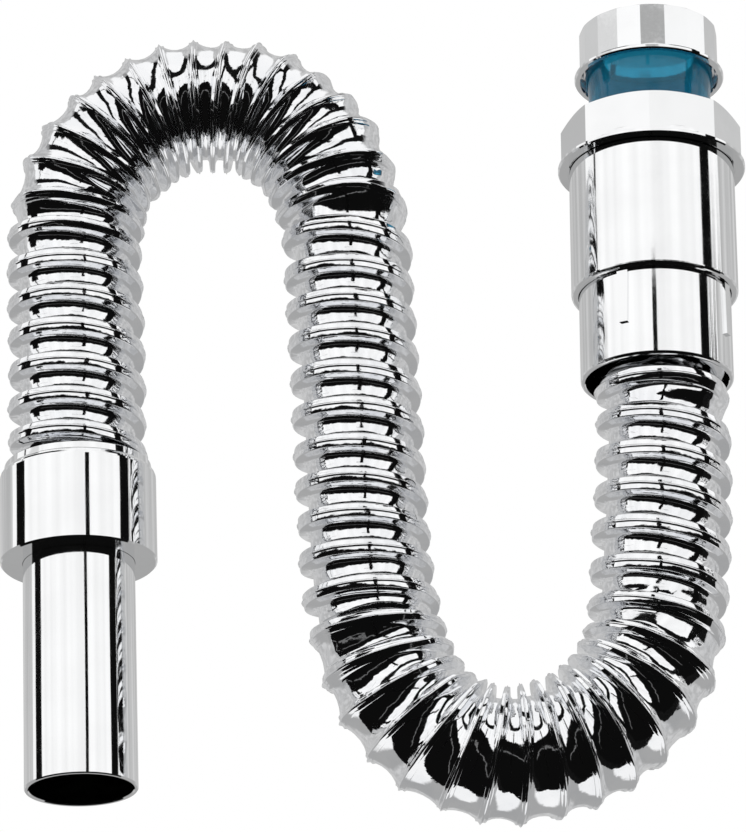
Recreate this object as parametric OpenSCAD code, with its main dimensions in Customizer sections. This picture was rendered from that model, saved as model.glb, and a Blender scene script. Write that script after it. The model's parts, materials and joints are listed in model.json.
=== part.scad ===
// Flexible waste pipe for a wash basin: a corrugated hose with an inlet nut,
// a bell that holds a one-way odour valve, and a plain tail for the drain.
// Millimetres, +Z up. The origin is on the inlet axis, at the top of the inlet nut.

/* [Inlet nut] */
// Width of the inlet nut over its corners
nut_d = 46.4; // [46:0.1:48]
// Number of flat grip facets round the inlet nut
nut_facets = 18; // [16:2:24]
// Height of the inlet nut with its skirt
nut_h = 17.4; // [17.2:0.1:18]
// Diameter of the round skirt below the facets
nut_skirt_d = 50; // [49:0.1:51]
// Inlet thread (1 1/4 inch pipe), taken as a plain wall of its major diameter
inlet_thread_d = 41.9; // [41.6:0.1:42]
// Length of the inlet thread
inlet_thread_h = 7.2; // [6.5:0.1:7.2]

/* [Blue neck] */
// Diameter of the plain part of the neck
neck_d = 40.7; // [40.5:0.1:40.8]
// Diameter of the flare under the nut
neck_flare_d = 42.8; // [42:0.1:43]
// Bore of the neck
neck_bore_d = 35; // [32:0.5:35.5]

/* [Collar nut] */
// Width of the collar nut over its corners
collar_d = 60; // [59.6:0.1:61]
// Number of flats
collar_flats = 8; // [8:1:8]
// Diameter of the round skirt under the flats
collar_skirt_d = 62.3; // [61.5:0.1:63]

/* [Bell] */
// Outside diameter of the bell
bell_d = 55; // [54.8:0.1:55.2]
// Outside diameter of the male thread that the collar nut turns on
bell_thread_d = 51.2; // [50.8:0.1:51.2]

/* [Hose socket] */
// Outside diameter of the ribbed sleeve
sleeve_d = 50; // [49.8:0.1:50]
// Inside diameter of the sleeve's open mouth
sleeve_mouth_d = 46.8; // [46.4:0.1:47]
// Number of ribs under the bell
ribs = 4; // [2:1:6]
// Width of a rib
rib_w = 3.8; // [3:0.1:5]
// Length of a rib
rib_h = 18; // [12:0.5:19]

/* [Hose] */
// Radius over the crests of the corrugation
crest_r = 22.3; // [21.8:0.1:22.5]
// Radius in the roots of the corrugation
root_r = 18.2; // [18:0.1:18.6]
// Wall thickness of the hose
hose_wall = 0.9; // [0.7:0.05:1.1]
// Sides round the hose
hose_sides = 12; // [8:1:12]

/* [Ferrule and tail] */
// Outside diameter of the ferrule
ferrule_d = 50.5; // [50:0.1:52]
// Height of the ferrule's straight side
ferrule_h = 28.9; // [28.5:0.1:30]
// Outside diameter of the tail tube
tail_d = 36; // [35.5:0.1:36]
// Wall thickness of the tail tube
tail_wall = 1.4; // [1.2:0.1:1.6]
// Length of the tail tube below the ferrule
tail_l = 75.6; // [50:0.1:90]

/* [Hidden] */
$fn = 96;

// heights of the stack, from the top of the inlet nut down
z_neck = -10;          // top face of the neck
z_lip = -12.8;         // top of the nut's inner lip
lip_h = 1.6;
z_collar = -34.4;      // top of the collar nut
z_collar_end = -51.3;  // bottom of its skirt
z_web_in = -38;        // inner face of the collar nut's top
z_thread = -40;        // top of the bell's thread
z_bell = -50.3;        // shoulder of the bell
z_bell_end = -97.0;    // lower edge of the bell
z_socket = -78;        // top of the hose socket, inside the bell
z_web = -97;           // web of the hose socket
z_mouth = -127.4;      // mouth of the hose socket
spigot_r = 16.2;       // outside of the spigots that the hose end fits over
spigot_in = 14.2;

// place and lean of the ferrule and tail: the top edge of the ferrule
tail_x = -188.4;
tail_z = -161.5;
tail_lean = 2.1;

// The hose's centreline in the plane y = 0: x, z, and the count of turns of the
// corrugation wound up to that point. Down, round the lower bend, up, round the
// upper bend and down again into the ferrule.
route = [
    [   0.0, -101.5,  0.40], [   0.7, -125.0,  2.20], [   1.6, -138.0,  3.19],
    [   1.4, -150.0,  4.10], [   0.6, -170.0,  5.65], [  -0.5, -187.0,  6.95], [  -2.0, -207.0,  8.45],
    [  -5.2, -223.0,  9.90], [ -13.5, -237.8, 11.60], [ -28.5, -249.4, 13.70],
    [ -47.0, -254.7, 16.00], [ -66.0, -251.2, 18.30], [ -81.0, -238.3, 20.40],
    [ -90.0, -220.5, 22.30], [ -94.0, -200.0, 24.05], [ -96.0, -180.0, 25.70],
    [ -97.5, -150.0, 28.20], [ -99.2, -120.0, 30.50], [-101.0,  -90.0, 32.95],
    [-103.2,  -66.0, 34.70], [-111.0,  -46.0, 36.70], [-126.5,  -31.0, 39.35],
    [-146.5,  -26.5, 42.00], [-166.0,  -31.0, 44.50], [-181.5,  -44.0, 47.00],
    [-190.0,  -61.0, 48.95], [-191.6,  -80.0, 50.85], [-190.5, -105.0, 52.90],
    [-189.5, -130.0, 54.95], [-188.8, -150.0, 56.65], [-187.9, -175.0, 58.70]];
first_root = 0.5;   // turn at which the corrugation starts, below a plain cuff
turns = 57;         // turns from there to the lower cuff

// ---- small helpers ----
function ngon(n, r) = [for (i = [0:n - 1]) r * [cos(360 * i / n), sin(360 * i / n)]];
function arc(c, r, a, b, n = 6) = [for (i = [0:n]) let (t = a + (b - a) * i / n) c + r * [cos(t), sin(t)]];
module turned(profile) rotate_extrude() polygon(profile);
module tube(r_out, r_in, z_top, z_bottom) turned([[r_in, z_bottom], [r_out, z_bottom], [r_out, z_top], [r_in, z_top]]);
module at_tail() translate([tail_x, 0, tail_z]) rotate([0, -tail_lean, 0]) children();

// ---- inlet: nut, washer, neck and its clip ----
module inlet_nut() color([0.80, 0.81, 0.83]) {
    r = nut_d / 2;
    s = nut_skirt_d / 2;
    difference() {
        union() {
            intersection() {
                translate([0, 0, -nut_h + 1.6]) linear_extrude(nut_h - 1.6) polygon(ngon(nut_facets, r));
                turned(concat([[0, -nut_h], [r + 1, -nut_h]], arc([r - 1.2, -1.2], 1.5, 0, 78), [[0, 0]]));
            }
            turned(concat([[r - 3, -12.6]], arc([s - 0.2, -13.2], 2.4, 172, 262, 5),
                          [[s, -16.1], [s, -nut_h + 0.5], [s - 0.4, -nut_h], [r - 3, -nut_h]]));
        }
        // thread, relief above the lip, lip, open skirt
        translate([0, 0, -inlet_thread_h]) cylinder(h = inlet_thread_h + 1, d = inlet_thread_d);
        translate([0, 0, z_lip]) cylinder(h = -z_lip - inlet_thread_h + 0.01, r = inlet_thread_d / 2 + 0.35);
        translate([0, 0, z_lip - lip_h - 0.1]) cylinder(h = lip_h + 0.2, r = neck_top_r + 0.08);
        translate([0, 0, -nut_h - 1]) cylinder(h = 2.4, r = s - 1.8);
        translate([0, 0, -nut_h + 1.39]) cylinder(h = nut_h - 1.39 + z_lip - lip_h, r1 = s - 1.8, r2 = s - 3.1);
    }
}

neck_top_r = 19.6;
module inlet_washer() color([0.12, 0.12, 0.13])
    turned([[16.8, z_neck + 0.3], [17.1, z_neck], [20.3, z_neck], [20.5, z_neck + 0.2],
            [20.5, z_neck + 2.3], [20.3, z_neck + 2.5], [17.1, z_neck + 2.5], [16.8, z_neck + 2.2]]);

module neck() color([0.05, 0.42, 0.60]) {
    b = neck_bore_d / 2;
    p = neck_d / 2;
    f = neck_flare_d / 2;
    turned(concat(
        [[b, -66], [p - 0.6, -66], [p, -66.6 + 1.6], [p, -27]],
        // concave flare up to the shoulder under the nut's lip
        [for (t = [0:0.1:1]) [p + (f - p) * t * t, -27 + 11 * t]],
        [[f - 0.3, -15.3], [f - 1, -14.8], [neck_top_r, -14.8], [neck_top_r, -12.3], [18.6, -12.3],
         [18.6, -10.8], [neck_top_r, -10.8], [neck_top_r, z_neck - 0.1], [neck_top_r - 0.3, z_neck], [b, z_neck]]));
}

module neck_clip() color([0.86, 0.86, 0.84]) difference() {
    turned([[18.75, -12.2], [20.4, -12.2], [20.4, -11.2], [20.1, -10.95], [18.75, -10.95]]);
    translate([0, 0, -13]) rotate([0, 0, 130]) translate([0, -2, 0]) cube([30, 4, 4]);
}

// ---- collar nut, slip ring and gasket ----
module collar_nut() color([0.80, 0.81, 0.83]) {
    r = collar_d / 2;
    s = collar_skirt_d / 2;
    flat = r * cos(180 / collar_flats);
    difference() {
        union() {
            intersection() {
                translate([0, 0, z_collar_end + 1]) rotate([0, 0, -4.5])
                    linear_extrude(z_collar - z_collar_end - 1) polygon(ngon(collar_flats, r));
                turned([[0, z_collar_end], [r + 1, z_collar_end], [r + 1, z_collar - 1.8], [r - 0.3, z_collar - 1.1],
                        [flat + 0.3, z_collar - 0.3], [flat - 0.4, z_collar], [0, z_collar]]);
            }
            turned(concat([[flat - 2, -46]], [[flat - 0.3, -46.6]], arc([s - 0.6, -47.0], 2.6, 180, 258, 5),
                          [[s, -50.0], [s, z_collar_end + 0.5], [s - 0.4, z_collar_end], [flat - 2, z_collar_end]]));
        }
        translate([0, 0, z_web_in - 1]) cylinder(h = 5, r = neck_d / 2 + 0.55);
        translate([0, 0, z_collar - 0.8]) cylinder(h = 0.9, r1 = neck_d / 2 + 0.55, r2 = neck_d / 2 + 1.4);
        translate([0, 0, z_collar_end - 1]) cylinder(h = z_web_in - z_collar_end + 1, r = bell_thread_d / 2 + 0.08);
        translate([0, 0, z_collar_end - 1]) cylinder(h = 2.4, r = bell_d / 2 + 0.5);
    }
}

module slip_ring() color([0.90, 0.90, 0.87])
    turned([[neck_d / 2 + 0.5, -39.2], [24.9, -39.2], [25.1, -39.0], [25.1, -38.5], [24.9, -38.3], [neck_d / 2 + 0.5, -38.3]]);

module collar_gasket() color([0.13, 0.13, 0.14])
    turned([[neck_d / 2, -45.2], [neck_d / 2 + 0.6, -45.6], [24.2, -40.4], [24.2, -39.9], [23.9, -39.6], [neck_d / 2, -39.6]]);

// ---- bell with its inner tube ----
module bell_body() color([0.80, 0.81, 0.83]) {
    r = bell_d / 2;
    t = bell_thread_d / 2;
    turned(concat(
        // seat for the gasket, bore for the neck, and the inner tube with its stop
        [[24.5, z_thread], [24.5, -40.6], [neck_d / 2 + 0.3, -46.1], [neck_d / 2 + 0.3, -68], [18, -68],
         [18, -69.9], [22.7, -69.9], [22.7, -54]],
        arc([23.9, -54], 1.2, 180, 90, 4), [[r - 2.3, -52.8 - 0.9]],
        // inside of the skirt, lower edge and outside
        [[r - 2.3, -84], [r - 1.9, -84.4], [r - 1.9, -86.2], [r - 2.3, -86.6], [r - 2.3, z_bell_end + 0.2], [r - 2.1, z_bell_end]],
        arc([r - 1.5, z_bell_end + 1.5], 1.5, -90, 0, 6),
        arc([r - 0.8, z_bell - 0.8], 0.8, 0, 90, 3),
        [[t, z_bell], [t, z_thread - 0.5], [t - 0.4, z_thread]]));
}

// ---- one-way valve and its seals, inside the bell ----
module tube_seal() color([0.13, 0.13, 0.14]) tube(22.6, 18.0, -70.0, -71.9);

module valve_holder() color([0.88, 0.88, 0.85])
    turned([[15.0, -80.5], [16.3, -80.5], [16.3, -74.6], [22.9, -74.6], [22.9, -77.9], [24.9, -77.9], [24.9, -72.0], [17.6, -72.0], [15.0, -74.0]]);

// soft sleeve that narrows to a flat slit
module odour_valve() color([0.10, 0.45, 0.62]) difference() {
    union() {
        translate([0, 0, -80.6]) cylinder(h = 5.8, r = 17.5, $fn = 32);
        hull() {
            translate([0, 0, -81]) cylinder(h = 0.5, r = 17.5, $fn = 32);
            translate([-16.5, -1.1, -95]) cube([33, 2.2, 0.6]);
        }
    }
    translate([0, 0, -80.7]) cylinder(h = 7, r = 16.35, $fn = 32);
    hull() {
        translate([0, 0, -80.9]) cylinder(h = 0.3, r = 16.35, $fn = 32);
        translate([-15.4, -0.25, -95.1]) cube([30.8, 0.5, 0.3]);
    }
}

// ---- ribbed socket that takes the hose ----
module hose_socket() color([0.80, 0.81, 0.83]) {
    r = sleeve_d / 2;
    m = sleeve_mouth_d / 2;
    union() {
        turned(concat(
            [[22.6, z_socket - 0.2], [22.8, z_socket], [r - 0.3, z_socket], [r, z_socket - 0.3], [r, -80.1],
             [23.5, -80.1], [23.5, -81.9], [r, -81.9], [r, -84.6], [r + 0.35, -85.0], [r + 0.35, -85.6], [r, -86.0],
             [r, z_mouth + 1.1]],
            arc([r - 1.1, z_mouth + 1.1], 1.1, 0, -90, 5),
            [[m + 0.3, z_mouth], [m, z_mouth + 0.3], [m, -100.5], [m - 0.8, z_web - 2.5], [spigot_r, z_web - 2.5], [spigot_r, -118.2], [spigot_r - 0.8, -119],
             [spigot_in, -119], [spigot_in, z_web + 0.4], [spigot_in + 0.6, z_web], [22.6, z_web]]));
        for (i = [0:ribs - 1]) rotate([0, 0, -118 + 360 * i / ribs])
            hull() {
                translate([r - 1, -rib_w / 2, z_bell_end - 0.3 - 1]) cube([1.9, rib_w, 1]);
                translate([r - 1, -rib_w / 2 + 0.5, z_bell_end - 0.3 - rib_h]) cube([1.9, rib_w - 1, 1]);
            }
    }
}

module socket_seal() color([0.13, 0.13, 0.14]) turned(arc([24.33, -81], 0.8, 0, 345, 23));

module hose_seal_upper() color([0.13, 0.13, 0.14]) tube(22.2, spigot_r + 0.1, z_web - 2.6, z_web - 4.3);

// ---- corrugated hose ----
// A thin wall pleated in one helix. Each turn has four rows of points, root, flank,
// crest and flank, that climb with the helix, so that row 4 of one turn is row 0 of
// the next. A plain cuff at each end takes the helix out to a flat edge.
np = len(route);
leg = [for (i = [0:np - 2]) norm([route[i + 1][0] - route[i][0], route[i + 1][1] - route[i][1]])];
function spot(i) = [route[i][0], route[i][1]];
function run(i) = i == 0 ? [0, -1] : i == np - 1 ? (spot(i) - spot(i - 1)) / leg[i - 1]
                : (spot(i + 1) - spot(i - 1)) / (leg[i] + leg[i - 1]);
count = [for (i = [0:np - 1]) [route[i][2], i]];
// place and direction on the centreline at a count of turns
function along(turn) = let (u = lookup(turn, count), i = min(floor(u), np - 2), t = u - i, d = leg[i])
    [(2 * t * t * t - 3 * t * t + 1) * spot(i) + (t * t * t - 2 * t * t + t) * d * run(i)
      + (3 * t * t - 2 * t * t * t) * spot(i + 1) + (t * t * t - t * t) * d * run(i + 1),
     (6 * t * t - 6 * t) * spot(i) / d + (3 * t * t - 4 * t + 1) * run(i)
      + (6 * t - 6 * t * t) * spot(i + 1) / d + (3 * t * t - 2 * t) * run(i + 1)];
// a point at a count of turns, an angle round the hose and a radius
function skin(turn, a, r) = let (g = along(turn), w = g[1] / norm(g[1]))
    [g[0][0] - w[1] * r * cos(a), r * sin(a), g[0][1] + w[0] * r * cos(a)];

hn = hose_sides;
steps = turns * hn;
mid_r = (crest_r + root_r) / 2;
row_r = [root_r, mid_r, crest_r, mid_r];
cuff_a = route[0][2];
cuff_b = route[np - 1][2];
function wall_points(inset) = concat(
    [for (i = [0:steps], q = [0:3]) skin(first_root + i / hn + q / 4, 360 * i / hn, row_r[q] - inset)],
    [for (i = [steps + 1:steps + hn]) skin(first_root + i / hn, 360 * i / hn, root_r - inset)],
    [for (i = [0:hn - 1]) skin(cuff_a, 360 * i / hn, root_r - inset)],
    [for (i = [0:hn - 1]) skin(cuff_b, 360 * i / hn, root_r - inset)]);
skin_n = 4 * (steps + 1) + 3 * hn;
function id(q, i) = q == 4 ? id(0, i + hn) : i <= steps ? 4 * i + q : 4 * (steps + 1) + i - steps - 1;
function ring_a(j) = skin_n - 2 * hn + j % hn;
function ring_b(j) = skin_n - hn + j % hn;
wall_faces = concat(
    [for (i = [0:steps - 1], q = [0:3], k = [0, 1]) k == 0 ? [id(q, i), id(q + 1, i), id(q + 1, i + 1)] : [id(q, i), id(q + 1, i + 1), id(q, i + 1)]],
    [for (j = [0:hn - 2], k = [0, 1]) k == 0 ? [ring_a(j), id(0, j), id(0, j + 1)] : [ring_a(j), id(0, j + 1), ring_a(j + 1)]],
    [for (q = [0:3]) [id(0, hn - 1), id(q + 1, 0), id(q, 0)]],
    [[id(0, hn - 1), id(0, 0), ring_a(0)], [id(0, hn - 1), ring_a(0), ring_a(hn - 1)]],
    [for (j = [1:hn - 1], k = [0, 1]) k == 0 ? [id(0, steps + j), ring_b(j), ring_b(j + 1)] : [id(0, steps + j), ring_b(j + 1), id(0, steps + j + 1)]],
    [for (q = [0:3]) [id(0, steps + 1), id(q, steps), id(q + 1, steps)]],
    [[id(0, steps + 1), id(4, steps), ring_b(0)], [id(0, steps + 1), ring_b(0), ring_b(1)]]);
module hose() color([0.78, 0.80, 0.83]) {
    back = [for (f = wall_faces) [f[0] + skin_n, f[2] + skin_n, f[1] + skin_n]];
    rims = [for (j = [0:hn - 1], k = [0:3])
        k == 0 ? [ring_a(j), ring_a(j + 1), ring_a(j + 1) + skin_n]
        : k == 1 ? [ring_a(j), ring_a(j + 1) + skin_n, ring_a(j) + skin_n]
        : k == 2 ? [ring_b(j), ring_b(j + 1) + skin_n, ring_b(j + 1)]
        : [ring_b(j), ring_b(j) + skin_n, ring_b(j + 1) + skin_n]];
    polyhedron(points = concat(wall_points(0), wall_points(hose_wall)),
               faces = [for (f = concat(wall_faces, back, rims)) [f[0], f[2], f[1]]], convexity = 12);
}

// ---- ferrule and tail ----
module hose_seal_lower() color([0.13, 0.13, 0.14]) at_tail() tube(22.2, spigot_r + 0.1, -14.4, -16.2);

module ferrule() color([0.80, 0.81, 0.83]) at_tail() {
    r = ferrule_d / 2;
    turned(concat(
        [[22.9, 4.2], [23.3, 4.6], [23.7, 4.2]], arc([r - 2.6, -0.2], 2.6, 62, 0, 5),
        [[r, -ferrule_h + 0.6], [r - 0.6, -ferrule_h], [tail_d / 2 + 0.1, -ferrule_h], [tail_d / 2 + 0.1, -ferrule_h + 2.6], [22.9, -ferrule_h + 2.6]]));
}

module tail_tube() color([0.80, 0.81, 0.83]) at_tail() {
    r = tail_d / 2;
    i = r - tail_wall;
    e = -ferrule_h - tail_l;
    turned([[spigot_in, 2.5], [spigot_r - 0.8, 2.5], [spigot_r, 1.5], [spigot_r, -16.3], [22.2, -16.3], [22.6, -16.7], [22.6, -18.6],
            [r - 0.3, -18.6], [r - 0.3, -ferrule_h - 0.1], [r, -ferrule_h - 0.1], [r, e + 0.4], [r - 0.3, e], [i + 0.3, e], [i, e + 0.4], [i, -20.6], [spigot_in, -16.8]]);
}

inlet_nut();
inlet_washer();
neck();
neck_clip();
collar_nut();
slip_ring();
collar_gasket();
bell_body();
tube_seal();
valve_holder();
odour_valve();
hose_socket();
socket_seal();
hose_seal_upper();
hose();
hose_seal_lower();
ferrule();
tail_tube();
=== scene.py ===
import json
import math

import bpy
import numpy as np
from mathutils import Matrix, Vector


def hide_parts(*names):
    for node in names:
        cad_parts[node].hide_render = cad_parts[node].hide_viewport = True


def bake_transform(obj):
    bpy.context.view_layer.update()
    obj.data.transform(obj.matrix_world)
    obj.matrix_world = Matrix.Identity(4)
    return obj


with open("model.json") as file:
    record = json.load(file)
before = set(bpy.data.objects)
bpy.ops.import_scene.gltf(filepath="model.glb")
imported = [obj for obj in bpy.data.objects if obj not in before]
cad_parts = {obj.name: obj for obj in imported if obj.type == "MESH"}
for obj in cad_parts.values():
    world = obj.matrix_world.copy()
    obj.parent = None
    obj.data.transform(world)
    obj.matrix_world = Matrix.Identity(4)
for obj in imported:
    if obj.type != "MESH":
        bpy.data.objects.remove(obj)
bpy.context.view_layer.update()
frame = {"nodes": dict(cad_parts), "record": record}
node = frame["nodes"]

# ------------------------------------------------------------------ camera
# The object is seen from below: 22.2 degrees up along +Y, 1.37 m away.
LOOK_UP = math.radians(22.2)
aim = Vector((-0.0929, 0.0, -0.1390))
forward = Vector((0.0, math.cos(LOOK_UP), math.sin(LOOK_UP)))
cam_data = bpy.data.cameras.new("photo_camera")
cam = bpy.data.objects.new("photo_camera", cam_data)
bpy.context.scene.collection.objects.link(cam)
cam.location = aim - 1.368 * forward
cam.rotation_mode = "QUATERNION"
cam.rotation_quaternion = forward.to_track_quat("-Z", "Y")
cam_data.sensor_width = 36.0
cam_data.lens = 4200.0 / 832.0 * 36.0
cam_data.clip_start, cam_data.clip_end = 0.05, 50.0
bpy.context.scene.camera = cam


# ------------------------------------------------------------------ mesh helpers
def new_mesh(name, verts, faces, smooth=True):
    me = bpy.data.meshes.new(name)
    me.from_pydata([tuple(v) for v in verts], [], [tuple(int(i) for i in f) for f in faces])
    me.update()
    me.validate()
    if smooth:
        me.polygons.foreach_set("use_smooth", np.ones(len(me.polygons), dtype=bool))
    ob = bpy.data.objects.new(name, me)
    bpy.context.scene.collection.objects.link(ob)
    return ob


def ease(x, a, b):
    t = np.clip((x - a) / (b - a), 0.0, 1.0)
    return t * t * (3 - 2 * t)


# ------------------------------------------------------------------ hose
# The same route as in the part's source, here in metres: x, z and the turns of the
# corrugation wound up to that point.
ROUTE = np.array([
    [0.0, -101.5, 0.40], [0.7, -125.0, 2.20], [1.6, -138.0, 3.19],
    [1.4, -150.0, 4.10], [0.6, -170.0, 5.65], [-0.5, -187.0, 6.95], [-2.0, -207.0, 8.45],
    [-5.2, -223.0, 9.90], [-13.5, -237.8, 11.60], [-28.5, -249.4, 13.70],
    [-47.0, -254.7, 16.00], [-66.0, -251.2, 18.30], [-81.0, -238.3, 20.40],
    [-90.0, -220.5, 22.30], [-94.0, -200.0, 24.05], [-96.0, -180.0, 25.70],
    [-97.5, -150.0, 28.20], [-99.2, -120.0, 30.50], [-101.0, -90.0, 32.95],
    [-103.2, -66.0, 34.70], [-111.0, -46.0, 36.70], [-126.5, -31.0, 39.35],
    [-146.5, -26.5, 42.00], [-166.0, -31.0, 44.50], [-181.5, -44.0, 47.00],
    [-190.0, -61.0, 48.95], [-191.6, -80.0, 50.85], [-190.5, -105.0, 52.90],
    [-189.5, -130.0, 54.95], [-188.8, -150.0, 56.65], [-187.9, -175.0, 58.70]])
RP = ROUTE[:, :2] * 0.001
RN = len(RP)
LEG = np.linalg.norm(np.diff(RP, axis=0), axis=1)
RUN = np.zeros_like(RP)
RUN[0] = (0.0, -1.0)
RUN[-1] = (RP[-1] - RP[-2]) / LEG[-1]
for k in range(1, RN - 1):
    RUN[k] = (RP[k + 1] - RP[k - 1]) / (LEG[k] + LEG[k - 1])


def along(turn):
    """Centre and direction of the hose at a count of turns."""
    u = np.interp(turn, ROUTE[:, 2], np.arange(RN))
    i = np.minimum(np.floor(u).astype(int), RN - 2)
    t = (u - i)[:, None]
    d = LEG[i][:, None]
    a, b, ra, rb = RP[i], RP[i + 1], RUN[i], RUN[i + 1]
    p = (2 * t**3 - 3 * t**2 + 1) * a + (t**3 - 2 * t**2 + t) * d * ra + (3 * t**2 - 2 * t**3) * b + (t**3 - t**2) * d * rb
    w = (6 * t**2 - 6 * t) * a / d + (3 * t**2 - 4 * t + 1) * ra + (6 * t - 6 * t**2) * b / d + (3 * t**2 - 2 * t) * rb
    return p, w / np.linalg.norm(w, axis=1)[:, None]


FIRST, TURNS, SIDES = 0.5, 57, 54
DENSE = np.linspace(ROUTE[0, 2], ROUTE[-1, 2], 2400)
DP, DW = along(DENSE)
DS = np.concatenate([[0.0], np.cumsum(np.linalg.norm(np.diff(DP, axis=0), axis=1))])


def crest_radius(turn):
    s = np.interp(turn, DENSE, DS)
    return np.interp(s, [0.0, 0.035, 0.06, 0.15, 0.24, 0.30, 0.38, 0.45, 0.52, 0.64],
                     [0.0217, 0.0217, 0.0223, 0.0226, 0.0217, 0.0213, 0.0213, 0.0224, 0.0222, 0.0223])


rng = np.random.default_rng(7)
turn_depth = rng.normal(0.0, 0.00012, TURNS + 4)
wave_ph = rng.uniform(0, 2 * math.pi, (6,))


def wrinkle(turn, ang):
    """Small uneven give of the thin film, in metres."""
    return (0.00009 * np.sin(3 * ang + 1.7 * turn + wave_ph[0]) + 0.00007 * np.sin(5 * ang - 2.3 * turn + wave_ph[1])
            + 0.00005 * np.sin(9 * ang + 4.1 * turn + wave_ph[2]) + 0.00003 * np.sin(14 * ang - 5.2 * turn + wave_ph[3]))


# One pleat from root to root: a broad crest with a fine welded ridge along its middle,
# steep flanks and a flat valley. x is the distance from the crest's middle, as a share
# of the pitch. Where a bend stretches the outer side, the film hangs between the ridges.
PLEAT_X = np.array([0.0, 0.034, 0.044, 0.160, 0.178, 0.189, 0.195, 0.208, 0.235, 0.285, 0.345, 0.5])
PLEAT_H = np.array([1.13, 1.0, 0.998, 0.99, 0.975, 0.935, 0.87, 0.36, 0.20, 0.075, 0.0, 0.0])


def pleat(u):
    """0 in the valley, 1 on the crest; u is the place within the pitch, 0 to 1."""
    return np.interp(np.abs(u - 0.5), PLEAT_X, PLEAT_H)


def inner_pleat(u):
    """The inner skin's rib is narrower than the outer one by the wall on each side."""
    return pleat(0.5 + np.abs(u - 0.5) + 0.045)


def hanging(u):
    x = np.abs(u - 0.5)
    return 0.40 + 0.60 * (1.0 - x / 0.5) ** 2 + 0.06 * np.clip(1.0 - x / 0.03, 0.0, 1.0)


DRUN = np.gradient(DW, DS, axis=0)
BEND = DRUN[:, 0] * -DW[:, 1] + DRUN[:, 1] * DW[:, 0]


def stretch(turn, ang):
    """How tight the bend is at a turn, and how far the skin is drawn out at an angle there."""
    k = np.interp(turn, DENSE, BEND) * 0.021
    return np.abs(k), 1.0 - k * np.cos(ang)


OUT_U = np.concatenate([[0.0], 0.5 - PLEAT_X[10:0:-1], [0.5], 0.5 + PLEAT_X[1:11]])
IN_U = np.array([0.0, 0.29, 0.328, 0.345, 0.38, 0.62, 0.655, 0.672, 0.71])
ROOT_DEPTH = 0.0041


def skin(turn, ang, radius):
    p, w = along(turn)
    c, s = radius * np.cos(ang), radius * np.sin(ang)
    return np.stack([p[:, 0] - w[:, 1] * c, s, p[:, 1] + w[:, 0] * c], axis=1)


def sheet_of(us, inset, turns, sides):
    """A helical strip of points: column i is a step round the hose, row q a place in the pleat."""
    steps = turns * sides
    nq = len(us)
    i = np.arange(steps + 1)
    turn = FIRST + i[:, None] / sides + us[None, :]
    ang = np.repeat((2 * math.pi * i / sides)[:, None], nq, axis=1)
    shape = pleat if inset == 0.0 else inner_pleat
    h = shape(np.repeat(us[None, :], steps + 1, axis=0))
    cr = crest_radius(turn)
    dep = np.interp(turn, np.arange(len(turn_depth)), turn_depth)
    tight, pull = stretch(turn, ang)
    hang = ease(tight, 0.10, 0.34) * ease(pull, 0.70, 1.0)
    if inset == 0.0:
        h = h * (1 - hang) + hanging(np.repeat(us[None, :], steps + 1, axis=0)) * hang
    crumple = 1.0 + 2.0 * ease(tight, 0.08, 0.35)
    r = cr - ROOT_DEPTH * (1 - h) + dep * h + crumple * wrinkle(turn, ang) * (0.25 + 0.75 * h) - inset - 0.0002
    pts = skin(turn.ravel(), ang.ravel(), r.ravel())
    # the root row of the last turn closes the strip, and a plain cuff follows each end
    j = np.arange(steps + 1, steps + sides + 1)
    tt, aa = FIRST + j / sides, 2 * math.pi * j / sides
    end = skin(tt, aa, crest_radius(tt) - ROOT_DEPTH + wrinkle(tt, aa) * 0.25 - inset)
    k = np.arange(sides)
    ka = 2 * math.pi * k / sides
    ca, cb = np.full(sides, ROUTE[0, 2]), np.full(sides, ROUTE[-1, 2])
    ring_a = skin(ca, ka, np.full(sides, 0.0182) - inset)
    ring_b = skin(cb, ka, np.full(sides, 0.0182) - inset)
    verts = np.concatenate([pts, end, ring_a, ring_b])
    base_end = (steps + 1) * nq
    base_a = base_end + sides
    base_b = base_a + sides

    def vid(q, c):
        if q == nq:
            return vid(0, c + sides)
        return c * nq + q if c <= steps else base_end + c - steps - 1

    faces = []
    for c in range(steps):
        for q in range(nq):
            faces.append((vid(q, c), vid(q + 1, c), vid(q + 1, c + 1), vid(q, c + 1)))
    for c in range(sides - 1):
        faces.append((base_a + c, vid(0, c), vid(0, c + 1), base_a + c + 1))
    for q in range(nq):
        faces.append((vid(0, sides - 1), vid(q + 1, 0), vid(q, 0)))
    faces.append((vid(0, sides - 1), vid(0, 0), base_a))
    faces.append((vid(0, sides - 1), base_a, base_a + sides - 1))
    for c in range(1, sides):
        faces.append((vid(0, steps + c), base_b + c, base_b + (c + 1) % sides, vid(0, steps + c + 1)))
    for q in range(nq):
        faces.append((vid(0, steps + 1), vid(q, steps), vid(q + 1, steps)))
    faces.append((vid(0, steps + 1), vid(nq, steps), base_b))
    faces.append((vid(0, steps + 1), base_b, base_b + 1))
    return verts, faces, base_a, base_b


ov, of_, oa, obb = sheet_of(OUT_U, 0.0, TURNS, SIDES)
iv, if_, ia, ib = sheet_of(IN_U, 0.00055, TURNS, SIDES)
n_out = len(ov)
faces = [tuple(reversed(f)) for f in of_] + [tuple(x + n_out for x in f) for f in if_]
for k in range(SIDES):
    m = (k + 1) % SIDES
    faces.append((oa + k, ia + n_out + k, ia + n_out + m, oa + m)[::-1])
    faces.append((obb + k, obb + m, ib + n_out + m, ib + n_out + k)[::-1])
hose = new_mesh("hose_corrugated", np.concatenate([ov, iv]), faces)

centre_pts, _ = along(np.linspace(ROUTE[0, 2], ROUTE[-1, 2], 240))
PATH = [(float(p[0]), 0.0, float(p[1])) for p in centre_pts]


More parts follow.
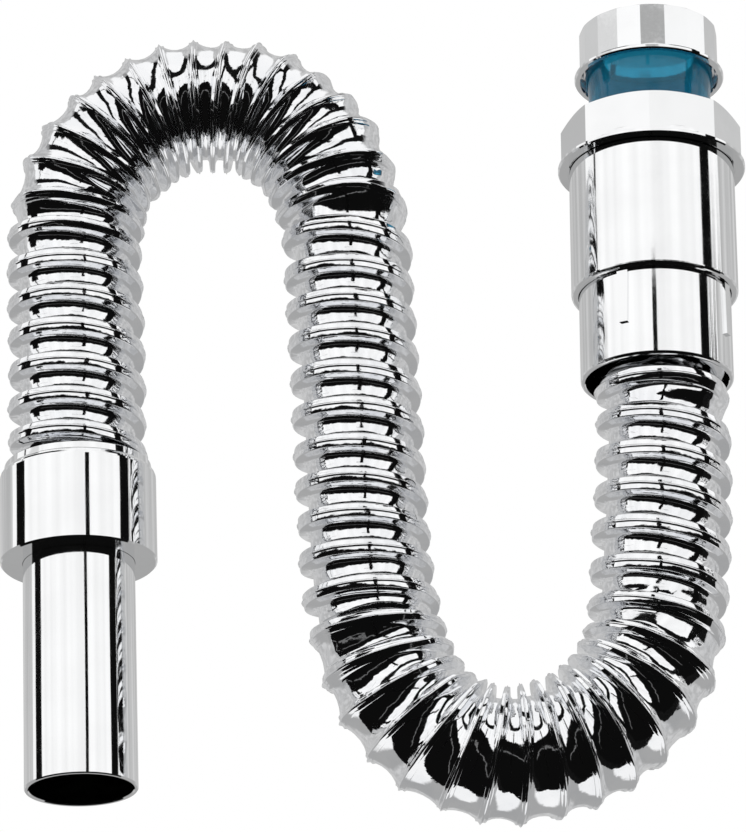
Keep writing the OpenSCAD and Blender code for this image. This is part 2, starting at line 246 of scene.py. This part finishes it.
# ------------------------------------------------------------------ node helpers
class G:
    """Builds node expressions: numbers and sockets mix freely."""

    def __init__(self, tree):
        self.t = tree

    def node(self, kind, **props):
        n = self.t.nodes.new(kind)
        for k, v in props.items():
            setattr(n, k, v)
        return n

    def put(self, sock, value):
        if isinstance(value, bpy.types.NodeSocket):
            self.t.links.new(value, sock)
        else:
            sock.default_value = value

    def m(self, op, a, b=None, c=None, clamp=False):
        n = self.node("ShaderNodeMath", operation=op, use_clamp=clamp)
        self.put(n.inputs[0], a)
        if b is not None:
            self.put(n.inputs[1], b)
        if c is not None:
            self.put(n.inputs[2], c)
        return n.outputs[0]

    def ramp(self, x, a, b, lo=0.0, hi=1.0, smooth=True):
        n = self.node("ShaderNodeMapRange", interpolation_type="SMOOTHSTEP" if smooth else "LINEAR", clamp=True)
        for s, v in zip(n.inputs[:5], (x, a, b, lo, hi)):
            self.put(s, v)
        return n.outputs[0]

    def inside(self, x, a, b, soft=0.5):
        """1 where x is between a and b, with soft edges."""
        return self.m("MULTIPLY", self.ramp(x, self.m("SUBTRACT", a, soft), self.m("ADD", a, soft)),
                      self.ramp(x, self.m("SUBTRACT", b, soft), self.m("ADD", b, soft), 1.0, 0.0))

    def noise(self, vec, scale, detail=2.0, rough=0.5, dist=0.0, dims="3D"):
        n = self.node("ShaderNodeTexNoise", noise_dimensions=dims)
        if vec is not None:
            self.put(n.inputs["Vector"], vec)
        n.inputs["Scale"].default_value = scale
        n.inputs["Detail"].default_value = detail
        n.inputs["Roughness"].default_value = rough
        n.inputs["Distortion"].default_value = dist
        return n.outputs["Fac"]

    def mixf(self, f, a, b):
        n = self.node("ShaderNodeMix", data_type="FLOAT")
        self.put(n.inputs[0], f)
        self.put(n.inputs[2], a)
        self.put(n.inputs[3], b)
        return n.outputs[0]

    def mixc(self, f, a, b):
        n = self.node("ShaderNodeMix", data_type="RGBA")
        self.put(n.inputs[0], f)
        for s, v in ((n.inputs[6], a), (n.inputs[7], b)):
            self.put(s, (*v, 1.0) if isinstance(v, tuple) and len(v) == 3 else v)
        return n.outputs[2]

    def xyz(self, x, y, z):
        n = self.node("ShaderNodeCombineXYZ")
        for s, v in zip(n.inputs, (x, y, z)):
            self.put(s, v)
        return n.outputs[0]

    def bump(self, height, strength, distance, normal=None):
        n = self.node("ShaderNodeBump")
        n.inputs["Strength"].default_value = strength
        n.inputs["Distance"].default_value = distance
        self.put(n.inputs["Height"], height)
        if normal is not None:
            self.put(n.inputs["Normal"], normal)
        return n.outputs[0]


def material(name):
    m = bpy.data.materials.new(name)
    m.use_nodes = True
    m.node_tree.nodes.clear()
    g = G(m.node_tree)
    bsdf = g.node("ShaderNodeBsdfPrincipled")
    out = g.node("ShaderNodeOutputMaterial")
    m.node_tree.links.new(bsdf.outputs[0], out.inputs[0])
    co = g.node("ShaderNodeTexCoord").outputs["Object"]
    return m, g, bsdf, co


# ------------------------------------------------------------------ materials
def chrome(name, tint, wave, rough=(0.03, 0.09)):
    """Bright plate on moulded plastic: faint waviness, fine haze and a few cloudy patches."""
    m, g, b, co = material(name)
    b.inputs["Metallic"].default_value = 1.0
    cloud = g.noise(co, 45.0, 3.0, 0.55)
    fine = g.noise(co, 900.0, 2.0, 0.6)
    g.put(b.inputs["Base Color"], g.mixc(g.ramp(cloud, 0.35, 0.7), tint, tuple(0.965 * c for c in tint)))
    g.put(b.inputs["Roughness"], g.ramp(g.m("ADD", g.m("MULTIPLY", cloud, 0.7), g.m("MULTIPLY", fine, 0.3)), 0.35, 0.7, rough[0], rough[1]))
    big = g.noise(co, 38.0, 1.5, 0.5)
    mid = g.noise(co, 160.0, 2.0, 0.5)
    n1 = g.bump(big, wave, 0.0009)
    g.put(b.inputs["Normal"], g.bump(mid, wave * 0.6, 0.00012, n1))
    return m


mat_plate = chrome("chrome_plate", (0.93, 0.935, 0.94), 0.10)
mat_hose, g, b, co = material("metallised_hose")
b.inputs["Metallic"].default_value = 1.0
b.inputs["Coat Weight"].default_value = 0.25
b.inputs["Coat Roughness"].default_value = 0.03
cloud = g.noise(co, 60.0, 3.0, 0.6)
g.put(b.inputs["Base Color"], g.mixc(g.ramp(cloud, 0.35, 0.7), (0.93, 0.935, 0.945), (0.86, 0.87, 0.89)))
g.put(b.inputs["Roughness"], g.ramp(g.noise(co, 240.0, 3.0, 0.6), 0.4, 0.75, 0.035, 0.11))
n1 = g.bump(g.noise(co, 130.0, 2.0, 0.5, 0.4), 0.22, 0.0009)
g.put(b.inputs["Normal"], g.bump(g.noise(co, 520.0, 2.0, 0.6), 0.12, 0.0002, n1))

mat_blue, g, b, co = material("blue_plastic")
b.inputs["IOR"].default_value = 1.45
b.inputs["Specular IOR Level"].default_value = 0.25
b.inputs["Transmission Weight"].default_value = 0.65
g.put(b.inputs["Base Color"], g.mixc(g.noise(co, 70.0, 2.0, 0.5), (0.02, 0.34, 0.56), (0.03, 0.42, 0.64)))
g.put(b.inputs["Roughness"], g.ramp(g.noise(co, 300.0, 3.0, 0.6), 0.35, 0.7, 0.04, 0.10))
g.put(b.inputs["Normal"], g.bump(g.noise(co, 90.0, 2.0, 0.5), 0.08, 0.0008))

mat_pale, g, b, co = material("pale_plastic")
b.inputs["Subsurface Weight"].default_value = 0.3
b.inputs["Subsurface Radius"].default_value = (0.004, 0.004, 0.0035)
g.put(b.inputs["Base Color"], g.mixc(g.noise(co, 120.0, 3.0, 0.6), (0.80, 0.79, 0.75), (0.72, 0.71, 0.67)))
g.put(b.inputs["Roughness"], g.ramp(g.noise(co, 700.0, 3.0, 0.6), 0.3, 0.7, 0.42, 0.6))
g.put(b.inputs["Normal"], g.bump(g.noise(co, 900.0, 2.0, 0.6), 0.25, 0.00008))

mat_rubber, g, b, co = material("seal_rubber")
g.put(b.inputs["Base Color"], g.mixc(g.noise(co, 160.0, 3.0, 0.6), (0.018, 0.018, 0.019), (0.045, 0.044, 0.043)))
g.put(b.inputs["Roughness"], g.ramp(g.noise(co, 500.0, 3.0, 0.6), 0.3, 0.7, 0.45, 0.75))
g.put(b.inputs["Normal"], g.bump(g.noise(co, 1200.0, 3.0, 0.6), 0.35, 0.00006))

mat_silicone, g, b, co = material("valve_silicone")
b.inputs["Subsurface Weight"].default_value = 0.5
b.inputs["Subsurface Radius"].default_value = (0.002, 0.004, 0.006)
g.put(b.inputs["Base Color"], g.mixc(g.noise(co, 140.0, 2.0, 0.5), (0.04, 0.28, 0.42), (0.07, 0.36, 0.50)))
g.put(b.inputs["Roughness"], g.ramp(g.noise(co, 400.0, 3.0, 0.6), 0.3, 0.7, 0.3, 0.45))
g.put(b.inputs["Normal"], g.bump(g.noise(co, 800.0, 2.0, 0.6), 0.2, 0.00006))

SLOT_MATERIAL = {"chrome_plate": mat_plate, "metallised_hose": mat_hose, "blue_plastic": mat_blue,
                 "pale_plastic": mat_pale, "seal_rubber": mat_rubber, "valve_silicone": mat_silicone}
for sub in frame["record"]["subparts"]:
    ob = node[sub["node"]]
    ob.data.materials.clear()
    ob.data.materials.append(SLOT_MATERIAL[sub["material_slot"]])
    if len(ob.material_slots):
        ob.material_slots[0].material = SLOT_MATERIAL[sub["material_slot"]]

hose.data.materials.append(mat_hose)
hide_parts("hose")
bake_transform(hose)

# ------------------------------------------------------------------ floor
fl = new_mesh("floor", [(-8, -8, -1.25), (8, -8, -1.25), (8, 8, -1.25), (-8, 8, -1.25)], [(0, 1, 2, 3)], False)
m_floor, g, b, co = material("pale_floor")
b.inputs["Roughness"].default_value = 0.8
b.inputs["Specular IOR Level"].default_value = 0.2
g.put(b.inputs["Base Color"], g.mixc(g.noise(co, 3.0, 3.0, 0.5), (0.88, 0.88, 0.875), (0.91, 0.91, 0.905)))
fl.data.materials.append(m_floor)
fl.visible_glossy = False

# A dark upright pole between the camera and the object. The plate mirrors it as the line
# down the middle of the sleeve, hose, ferrule and tail; its top is too low for the bell.
px, py, pr, pt = -0.045, -0.50, 0.028, 0.112
ring_n = 16
pv = [(px + pr * math.cos(2 * math.pi * k / ring_n), py + 0.4 * pr * math.sin(2 * math.pi * k / ring_n), z) for z in (-1.2, pt) for k in range(ring_n)]
pf = [(k, (k + 1) % ring_n, ring_n + (k + 1) % ring_n, ring_n + k) for k in range(ring_n)] + [tuple(range(ring_n, 2 * ring_n))]
pole = new_mesh("pole", pv, pf, False)
m_pole, g, b, co = material("dark_pole")
g.put(b.inputs["Base Color"], g.mixc(g.noise(co, 30.0, 2.0, 0.5), (0.004, 0.004, 0.004), (0.008, 0.008, 0.008)))
b.inputs["Roughness"].default_value = 0.9
b.inputs["Specular IOR Level"].default_value = 0.0
pole.data.materials.append(m_pole)
pole.visible_camera = False
pole.visible_diffuse = False
pole.visible_shadow = False

# ------------------------------------------------------------------ studio
# A white tent round the object, with dark openings that the plate mirrors. Angles in
# degrees: az 0 is towards the camera, positive to the right; el is above the horizon.
world = bpy.data.worlds.new("studio")
bpy.context.scene.world = world
world.use_nodes = True
wt = world.node_tree
wt.nodes.clear()
g = G(wt)
d = g.node("ShaderNodeTexCoord").outputs["Generated"]
sep = g.node("ShaderNodeSeparateXYZ")
g.put(sep.inputs[0], d)
DEG = 180.0 / math.pi
wob = g.m("MULTIPLY", g.m("SUBTRACT", g.noise(d, 5.0, 2.0, 0.5), 0.5), 5.0)
wob2 = g.m("MULTIPLY", g.m("SUBTRACT", g.noise(d, 14.0, 3.0, 0.6), 0.5), 3.0)
az0 = g.m("MULTIPLY", g.m("ARCTAN2", sep.outputs[0], g.m("MULTIPLY", sep.outputs[1], -1.0)), DEG)
el0 = g.m("MULTIPLY", g.m("ARCSINE", sep.outputs[2]), DEG)
az = g.m("ADD", az0, g.m("MULTIPLY", g.m("ADD", wob, wob2), 0.35))
el = g.m("ADD", el0, g.m("MULTIPLY", g.m("ADD", wob, wob2), 0.6))
aaz = g.m("ABSOLUTE", az0)

front = g.m("MULTIPLY", g.ramp(az, -110.0, -108.0), g.ramp(az, 101.0, 103.0, 1.0, 0.0))
mottle = g.noise(d, 7.0, 4.0, 0.6)
streak = g.noise(g.xyz(g.m("MULTIPLY", az0, 0.06), g.m("MULTIPLY", el0, 0.006), 0.0), 1.0, 1.5, 0.5)
white = g.ramp(streak, 0.32, 0.68, 0.95, 1.07)
grey = g.ramp(mottle, 0.3, 0.7, 0.46, 0.66)
# behind the object: grey above the horizon, the pale ground below it
back = g.mixf(g.ramp(el0, -52.0, -44.0, 1.0, 0.0), g.mixf(g.ramp(el0, -14.0, -6.0, 1.0, 0.0), grey, 0.40), 0.98)
value = g.mixf(front, back, white)


def darken(value, mask, to=0.0):
    return g.mixf(mask, value, to)


# everything low down on the camera's side is dark, with one thin pale line
low = g.m("MULTIPLY", g.ramp(el, 9.0, 11.0, 1.0, 0.0), g.m("MULTIPLY", g.ramp(az, -110.0, -108.0), g.ramp(az, 101.0, 103.0, 1.0, 0.0)))
value = darken(value, low, 0.004)
line = g.m("MULTIPLY", g.inside(el0, -16.0, -13.5, 0.5), g.inside(az, -80.0, 60.0, 3.0))
value = darken(value, g.m("MULTIPLY", line, 0.8), 0.20)
# upright edges: the left one fades into a thin line higher up
right = g.m("MULTIPLY", g.inside(az, 67.0, 83.0, 0.7), g.ramp(el, 56.0, 58.0, 1.0, 0.0))
left = g.m("MULTIPLY", g.inside(az, -99.0, -82.0, 0.7), g.ramp(el0, 22.2, 23.4, 1.0, 0.0))
thin = g.m("MULTIPLY", g.inside(az, -92.0, -89.0, 0.4), g.m("MULTIPLY", g.ramp(el0, 22.2, 23.4), g.ramp(el0, 40.0, 45.0, 1.0, 0.0)))
value = darken(value, g.m("MAXIMUM", right, left), 0.004)
value = darken(value, thin, 0.06)
speck = g.m("MULTIPLY", g.inside(az, 83.0, 101.0, 0.5), g.ramp(g.noise(d, 26.0, 3.0, 0.7), 0.47, 0.51))
speck = g.m("MULTIPLY", speck, g.ramp(el0, 22.0, 26.0, 1.0, 0.0))
value = darken(value, speck, 0.01)
# the top facets mirror a few greys high up on the camera's side
high = g.inside(el0, 26.7, 28.0, 0.12)
value = darken(value, g.m("MULTIPLY", high, g.inside(az0, -8.0, 12.0, 1.0)), 0.42)
value = darken(value, g.m("MULTIPLY", high, g.inside(az0, -92.0, -62.0, 2.0)), 0.72)
# ring under the roof, on the camera's side
ring = g.m("MULTIPLY", g.inside(el, 42.0, 57.0, 1.0), g.ramp(aaz, 100.0, 120.0, 1.0, 0.0))
value = darken(value, ring, 0.006)
value = g.mixf(g.ramp(el0, 60.0, 66.0), value, 1.02)

lp = g.node("ShaderNodeLightPath")
final = g.mixf(lp.outputs["Is Camera Ray"], value, 1.0)
bg = g.node("ShaderNodeBackground")
colour = g.xyz(final, final, final)
g.put(bg.inputs["Color"], colour)
out = g.node("ShaderNodeOutputWorld")
wt.links.new(bg.outputs[0], out.inputs[0])

sc = bpy.context.scene
sc.view_settings.view_transform = "Standard"
sc.view_settings.look = "None"
